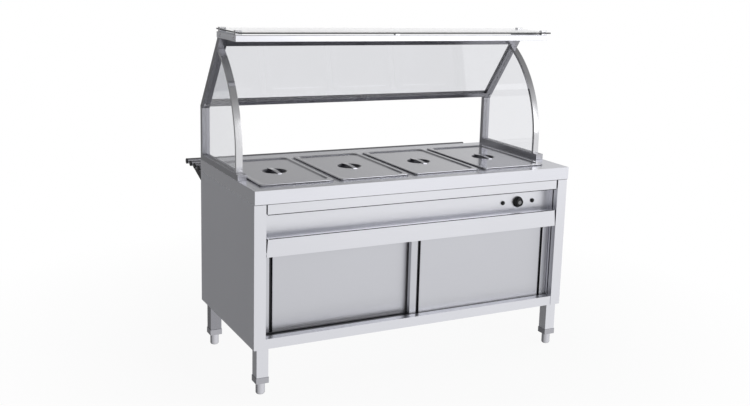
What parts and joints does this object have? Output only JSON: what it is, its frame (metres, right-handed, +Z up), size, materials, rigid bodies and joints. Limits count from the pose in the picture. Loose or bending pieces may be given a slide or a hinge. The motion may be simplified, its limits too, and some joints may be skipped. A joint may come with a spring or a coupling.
{
  "type": "food service trolley",
  "caption": "Heated stainless food service trolley: cabinet with sliding doors, water well for lidded pans, glass canopy and a tube tray slide, on adjustable feet.",
  "frame": {"origin": "floor level, under the middle of the whole object's box, tray slide included", "axes": "+X to the operator's right along the worktop, +Y from the operator's side to the tray slide, +Z up"},
  "size_m": [1.505, 0.9384, 1.45],
  "materials": {
    "brushed_stainless": "fine satin brushed stainless sheet and tube",
    "pan_stainless": "bright rolled stainless, lightly polished rims",
    "polished_stainless": "mirror polished stainless",
    "heater_sheath": "dull heat-tinted tube sheath",
    "thermostat_case": "off-white moulded case",
    "valve_brass": "nickel-worn brass",
    "lever_red": "red enamelled steel lever",
    "track_aluminium": "mill-finish extruded track",
    "knob_black": "black moulded plastic",
    "lamp_lens": "dark lens in a pale bezel",
    "gland_black": "black nylon",
    "collar_steel": "satin collar",
    "foot_steel": "turned stainless foot",
    "clear_glass": "clear toughened glass with polished edges",
    "bracket_dark": "dark satin powder coat"
  },
  "bodies": {
    "root": {"worktop": "brushed_stainless", "well_crossbars": "brushed_stainless", "water_tank": "brushed_stainless", "side_panel_left": "brushed_stainless", "side_panel_right": "brushed_stainless", "back_panel": "brushed_stainless", "cabinet_floor": "brushed_stainless", "cabinet_shelf": "brushed_stainless", "stile_left": "brushed_stainless", "stile_right": "brushed_stainless", "upper_fascia": "brushed_stainless", "control_panel": "brushed_stainless", "door_head_rail": "brushed_stainless", "bottom_rail": "brushed_stainless", "leg_front_left": "brushed_stainless", "leg_front_right": "brushed_stainless", "leg_rear_left": "brushed_stainless", "leg_rear_right": "brushed_stainless", "base_rail_left": "brushed_stainless", "base_rail_right": "brushed_stainless", "post_left": "brushed_stainless", "post_right": "brushed_stainless", "arm_left": "brushed_stainless", "arm_right": "brushed_stainless", "lower_cross_rail": "brushed_stainless", "upper_cross_rail": "brushed_stainless", "shelf_frame": "brushed_stainless", "tray_tubes": "brushed_stainless", "arch_left": "polished_stainless", "arch_right": "polished_stainless", "canopy_fixings": "polished_stainless", "heating_element": "heater_sheath", "thermostat": "thermostat_case", "drain_valve": "valve_brass", "door_tracks": "track_aluminium", "indicator_lamps": "lamp_lens", "cable_gland": "gland_black", "tray_end_caps": "gland_black", "leg_collars": "collar_steel", "shelf_glass": "clear_glass", "sloped_glass": "clear_glass", "side_glass_left": "clear_glass", "side_glass_right": "clear_glass", "tray_brackets": "bracket_dark"},
    "door_left": {"door_left": "brushed_stainless"},
    "door_right": {"door_right": "brushed_stainless"},
    "knob": {"knob": "knob_black"},
    "drain_lever": {"drain_lever": "lever_red"},
    "pan_1": {"pan_1": "pan_stainless"},
    "lid_1": {"lid_1": "pan_stainless"},
    "pan_2": {"pan_2": "pan_stainless"},
    "lid_2": {"lid_2": "pan_stainless"},
    "pan_3": {"pan_3": "pan_stainless"},
    "lid_3": {"lid_3": "pan_stainless"},
    "pan_4": {"pan_4": "pan_stainless"},
    "lid_4": {"lid_4": "pan_stainless"},
    "foot_front_left": {"foot_front_left": "foot_steel"},
    "foot_front_right": {"foot_front_right": "foot_steel"},
    "foot_rear_left": {"foot_rear_left": "foot_steel"},
    "foot_rear_right": {"foot_rear_right": "foot_steel"}
  },
  "joints": [
    {"name": "door_left_slide", "type": "slide", "parent": "root", "child": "door_left", "axis": [1, 0, 0], "range_m": [0, 0.665]},
    {"name": "door_right_slide", "type": "slide", "parent": "root", "child": "door_right", "axis": [-1, 0, 0], "range_m": [0, 0.674]},
    {"name": "knob_turn", "type": "hinge", "parent": "root", "child": "knob", "pos_m": [0.525, -0.40125, 0.692], "axis": [0, 1, 0], "range_deg": [0, 270]},
    {"name": "drain_lever_turn", "type": "hinge", "parent": "root", "child": "drain_lever", "pos_m": [0.56, 0.03875, 0.543], "axis": [0, -1, 0], "range_deg": [0, 90]},
    {"name": "pan_1_lift", "type": "slide", "parent": "root", "child": "pan_1", "axis": [0, 0, 1], "range_m": [0, 0.15]},
    {"name": "lid_1_lift", "type": "slide", "parent": "pan_1", "child": "lid_1", "axis": [0, 0, 1], "range_m": [0, 0.12]},
    {"name": "pan_2_lift", "type": "slide", "parent": "root", "child": "pan_2", "axis": [0, 0, 1], "range_m": [0, 0.15]},
    {"name": "lid_2_lift", "type": "slide", "parent": "pan_2", "child": "lid_2", "axis": [0, 0, 1], "range_m": [0, 0.12]},
    {"name": "pan_3_lift", "type": "slide", "parent": "root", "child": "pan_3", "axis": [0, 0, 1], "range_m": [0, 0.15]},
    {"name": "lid_3_lift", "type": "slide", "parent": "pan_3", "child": "lid_3", "axis": [0, 0, 1], "range_m": [0, 0.12]},
    {"name": "pan_4_lift", "type": "slide", "parent": "root", "child": "pan_4", "axis": [0, 0, 1], "range_m": [0, 0.15]},
    {"name": "lid_4_lift", "type": "slide", "parent": "pan_4", "child": "lid_4", "axis": [0, 0, 1], "range_m": [0, 0.12]},
    {"name": "foot_front_left_screw", "type": "slide", "parent": "root", "child": "foot_front_left", "axis": [0, 0, -1], "range_m": [0, 0.02]},
    {"name": "foot_front_right_screw", "type": "slide", "parent": "root", "child": "foot_front_right", "axis": [0, 0, -1], "range_m": [0, 0.02]},
    {"name": "foot_rear_left_screw", "type": "slide", "parent": "root", "child": "foot_rear_left", "axis": [0, 0, -1], "range_m": [0, 0.02]},
    {"name": "foot_rear_right_screw", "type": "slide", "parent": "root", "child": "foot_rear_right", "axis": [0, 0, -1], "range_m": [0, 0.02]}
  ]
}
